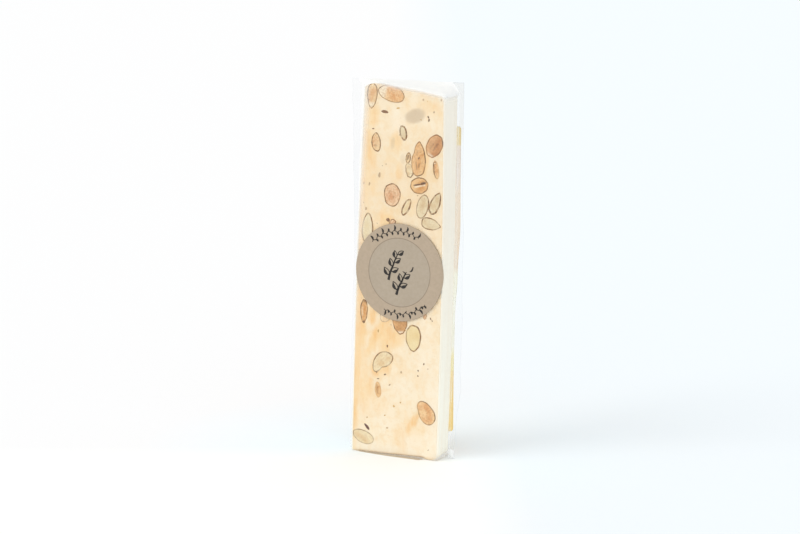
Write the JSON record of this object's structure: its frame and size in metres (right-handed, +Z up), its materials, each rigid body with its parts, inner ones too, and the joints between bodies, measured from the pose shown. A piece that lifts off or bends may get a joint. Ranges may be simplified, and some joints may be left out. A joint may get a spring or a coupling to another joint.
{
  "type": "packed nougat bar",
  "caption": "Bar of almond nougat with wafer sides, standing on end in a clear film sachet with side fins, a round paper seal in front and a tall paper label behind.",
  "frame": {"origin": "middle of the bar's base, on the surface that the pack stands on", "axes": "+Z up along the bar's length, front cut face with the round seal towards -Y, wafer sides towards -X and +X"},
  "size_m": [0.0475, 0.0158, 0.1532],
  "materials": {
    "film": "gloss",
    "seal_paper": "matte",
    "label_paper": "matte",
    "nougat": "satin",
    "almond": "satin",
    "wafer": "matte"
  },
  "bodies": {
    "root": {"bag": "film", "front_sticker": "seal_paper", "back_label": "label_paper"}
  },
  "joints": []
}
